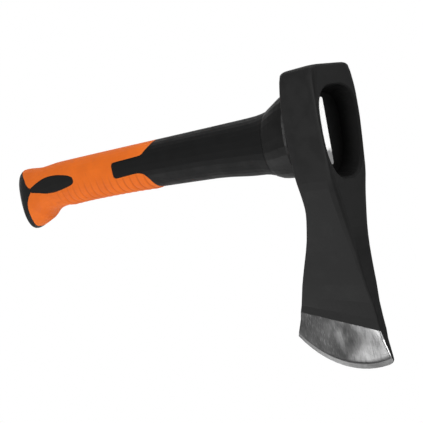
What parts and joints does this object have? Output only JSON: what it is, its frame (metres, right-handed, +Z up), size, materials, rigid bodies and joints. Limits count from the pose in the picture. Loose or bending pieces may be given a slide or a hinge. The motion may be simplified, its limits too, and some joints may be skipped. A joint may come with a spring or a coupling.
{
  "type": "fire axe",
  "caption": "Short-handled axe: forged black head with ground bit, wedged on a black nylon core, with flared collar, hard neck, orange ribbed grip and black butt cap.",
  "frame": {"origin": "middle of the flat on the lower cheek beside the eye, where the axe lies on its side", "axes": "+X along the handle, out of the head's top; +Y from the cutting edge to the poll; +Z up, out of the upper cheek"},
  "size_m": [0.3518, 0.1552, 0.031],
  "materials": {
    "head_steel": "satin black paint, bare ground steel on the bit",
    "core_nylon": "matte glass-filled nylon",
    "wedge_plastic": "matte white plastic",
    "black_rubber": "satin black rubber",
    "black_plastic": "fine satin black plastic",
    "orange_rubber": "matte orange thermoplastic rubber"
  },
  "bodies": {
    "root": {"axe_head": "head_steel", "handle_core": "core_nylon", "eye_wedge": "wedge_plastic", "neck_collar": "black_rubber", "handle_jacket": "black_plastic", "grip_sleeve": "orange_rubber", "butt_cap": "black_plastic", "grip_inlay_upper": "black_plastic", "grip_inlay_lower": "black_plastic"}
  },
  "joints": []
}
